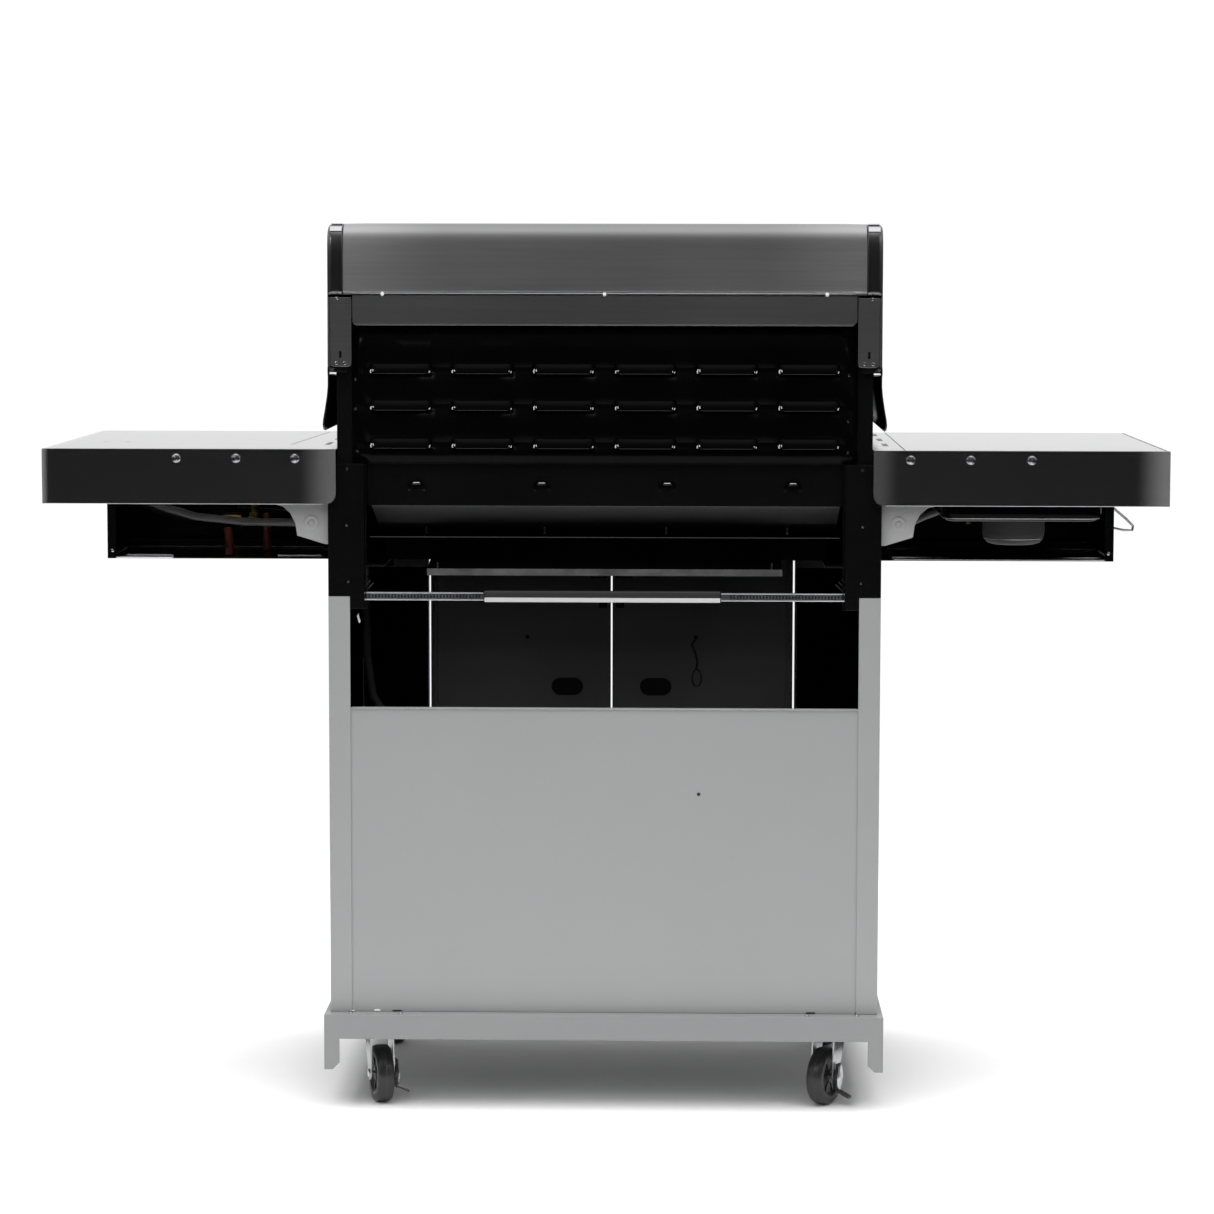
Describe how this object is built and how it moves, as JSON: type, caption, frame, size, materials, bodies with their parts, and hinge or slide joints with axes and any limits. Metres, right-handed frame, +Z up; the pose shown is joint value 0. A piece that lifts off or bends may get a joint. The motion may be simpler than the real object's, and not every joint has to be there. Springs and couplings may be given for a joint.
{
  "type": "gas barbecue grill",
  "caption": "Free-standing gas barbecue grill with a lidded firebox, side shelves, side burner and wheeled cabinet.",
  "frame": {"origin": "centre of the bounding box at floor level", "axes": "+X to the right as seen from the front, +Y to the back, +Z up; the control panel faces -Y"},
  "size_m": [1.45, 0.586, 1.1515],
  "materials": {
    "grey_paint": "satin powder coat",
    "pale_paint": "satin powder coat",
    "door_paint": "satin powder coat",
    "black_enamel": "gloss enamel",
    "stainless": "brushed",
    "stainless_hood": "brushed",
    "zinc": "zinc plated",
    "chrome": "polished",
    "cast_iron": "matt enamelled",
    "brass": "as turned",
    "hose_rubber": "matt",
    "knob_metal": "satin plated",
    "knob_dark": "matt",
    "tyre": "matt with a mould line",
    "brake_black": "zinc and black"
  },
  "bodies": {
    "frame": {"base_tray": "grey_paint", "side_panel_left": "grey_paint", "side_panel_right": "grey_paint", "rear_panel": "grey_paint", "upper_support_left": "black_enamel", "upper_support_right": "black_enamel", "firebox": "black_enamel", "louvred_back": "black_enamel", "tray_cross_rail": "zinc", "control_panel": "black_enamel", "shelf_left": "stainless", "shelf_right": "stainless", "shelf_bracket_left": "pale_paint", "shelf_bracket_right": "pale_paint", "side_burner_pan": "black_enamel", "side_burner": "cast_iron", "side_burner_grate": "cast_iron", "gas_manifold": "brass", "gas_hose": "hose_rubber", "gas_regulator": "zinc", "burner_1": "stainless", "burner_2": "stainless", "burner_3": "stainless", "burner_4": "stainless", "heat_tent_1": "stainless", "heat_tent_2": "stainless", "heat_tent_3": "stainless", "heat_tent_4": "stainless", "cooking_grate_left": "cast_iron", "cooking_grate_right": "cast_iron", "warming_rack": "chrome", "tool_hook": "zinc"},
    "hood": {"hood_skin": "stainless_hood", "hood_end_left": "stainless_hood", "hood_end_right": "stainless_hood", "hood_rear_baffle": "stainless_hood", "hood_handle": "chrome", "thermometer": "chrome"},
    "cabinet_door_left": {"door_left": "door_paint", "door_handle_left": "chrome"},
    "cabinet_door_right": {"door_right": "door_paint", "door_handle_right": "chrome"},
    "grease_drawer": {"grease_tray": "zinc"},
    "burner_lid": {"side_burner_lid": "stainless"},
    "button": {"ignition_button": "knob_dark"},
    "body_knob_1": {"knob_1": "knob_metal"},
    "body_knob_2": {"knob_2": "knob_metal"},
    "body_knob_3": {"knob_3": "knob_metal"},
    "body_knob_4": {"knob_4": "knob_metal"},
    "body_knob_side_burner": {"knob_side_burner": "knob_metal"},
    "swivel_rear_right": {"caster_fork_rear_right": "zinc"},
    "wheel_rear_right": {"caster_wheel_rear_right": "tyre"},
    "brake_rear_right": {"caster_brake_rear_right": "brake_black"},
    "swivel_rear_left": {"caster_fork_rear_left": "zinc"},
    "wheel_rear_left": {"caster_wheel_rear_left": "tyre"},
    "brake_rear_left": {"caster_brake_rear_left": "brake_black"},
    "swivel_front_right": {"caster_fork_front_right": "zinc"},
    "wheel_front_right": {"caster_wheel_front_right": "tyre"},
    "swivel_front_left": {"caster_fork_front_left": "zinc"},
    "wheel_front_left": {"caster_wheel_front_left": "tyre"}
  },
  "joints": [
    {"name": "hood_hinge", "type": "hinge", "parent": "frame", "child": "hood", "pos_m": [0, 0.262, 0.962], "axis": [-1, 0, 0], "range_deg": [0, 90]},
    {"name": "door_left_hinge", "type": "hinge", "parent": "frame", "child": "cabinet_door_left", "pos_m": [-0.249, -0.2025, 0.41075], "axis": [0, 0, -1], "range_deg": [0, 95]},
    {"name": "door_right_hinge", "type": "hinge", "parent": "frame", "child": "cabinet_door_right", "pos_m": [0.249, -0.2025, 0.41075], "axis": [0, 0, 1], "range_deg": [0, 95]},
    {"name": "grease_tray_slide", "type": "slide", "parent": "frame", "child": "grease_drawer", "axis": [0, 1, 0], "range_m": [0, 0.3]},
    {"name": "burner_lid_hinge", "type": "hinge", "parent": "frame", "child": "burner_lid", "pos_m": [-0.55375, 0.2765, 0.8605], "axis": [-1, 0, 0], "range_deg": [0, 95]},
    {"name": "ignition_press", "type": "slide", "parent": "frame", "child": "button", "axis": [0, 1, 0], "range_m": [0, 0.0035], "stiffness_N_per_m": 300},
    {"name": "knob_1_turn", "type": "hinge", "parent": "frame", "child": "body_knob_1", "pos_m": [-0.243, -0.2465, 0.79], "axis": [0, -1, 0], "range_deg": [0, 180]},
    {"name": "knob_2_turn", "type": "hinge", "parent": "frame", "child": "body_knob_2", "pos_m": [-0.081, -0.2465, 0.79], "axis": [0, -1, 0], "range_deg": [0, 180]},
    {"name": "knob_3_turn", "type": "hinge", "parent": "frame", "child": "body_knob_3", "pos_m": [0.081, -0.2465, 0.79], "axis": [0, -1, 0], "range_deg": [0, 180]},
    {"name": "knob_4_turn", "type": "hinge", "parent": "frame", "child": "body_knob_4", "pos_m": [0.243, -0.2465, 0.79], "axis": [0, -1, 0], "range_deg": [0, 180]},
    {"name": "knob_side_burner_turn", "type": "hinge", "parent": "frame", "child": "body_knob_side_burner", "pos_m": [-0.545, -0.2465, 0.79], "axis": [0, -1, 0], "range_deg": [0, 180]},
    {"name": "rear_right_swivel", "type": "hinge", "parent": "frame", "child": "swivel_rear_right", "pos_m": [0.299, 0.224, 0.1203], "axis": [0, 0, 1], "continuous": true},
    {"name": "rear_right_roll", "type": "hinge", "parent": "swivel_rear_right", "child": "wheel_rear_right", "pos_m": [0.29349, 0.24322, 0.0375], "axis": [0.9613, 0.2756, 0], "continuous": true},
    {"name": "rear_right_brake", "type": "hinge", "parent": "swivel_rear_right", "child": "brake_rear_right", "pos_m": [0.29349, 0.24322, 0.0375], "axis": [0.9613, 0.2756, 0], "range_deg": [0, 25]},
    {"name": "rear_left_swivel", "type": "hinge", "parent": "frame", "child": "swivel_rear_left", "pos_m": [-0.299, 0.224, 0.1203], "axis": [0, 0, 1], "continuous": true},
    {"name": "rear_left_roll", "type": "hinge", "parent": "swivel_rear_left", "child": "wheel_rear_left", "pos_m": [-0.29023, 0.24198, 0.0375], "axis": [0.8988, -0.4384, 0], "continuous": true},
    {"name": "rear_left_brake", "type": "hinge", "parent": "swivel_rear_left", "child": "brake_rear_left", "pos_m": [-0.29023, 0.24198, 0.0375], "axis": [0.8988, -0.4384, 0], "range_deg": [0, 25]},
    {"name": "front_right_swivel", "type": "hinge", "parent": "frame", "child": "swivel_front_right", "pos_m": [0.299, -0.133, 0.1203], "axis": [0, 0, 1], "continuous": true},
    {"name": "front_right_roll", "type": "hinge", "parent": "swivel_front_right", "child": "wheel_front_right", "pos_m": [0.30178, -0.1132, 0.0375], "axis": [0.9903, -0.1392, 0], "continuous": true},
    {"name": "front_left_swivel", "type": "hinge", "parent": "frame", "child": "swivel_front_left", "pos_m": [-0.299, -0.133, 0.1203], "axis": [0, 0, 1], "continuous": true},
    {"name": "front_left_roll", "type": "hinge", "parent": "swivel_front_left", "child": "wheel_front_left", "pos_m": [-0.3035, -0.11351, 0.0375], "axis": [0.9744, 0.225, 0], "continuous": true}
  ]
}
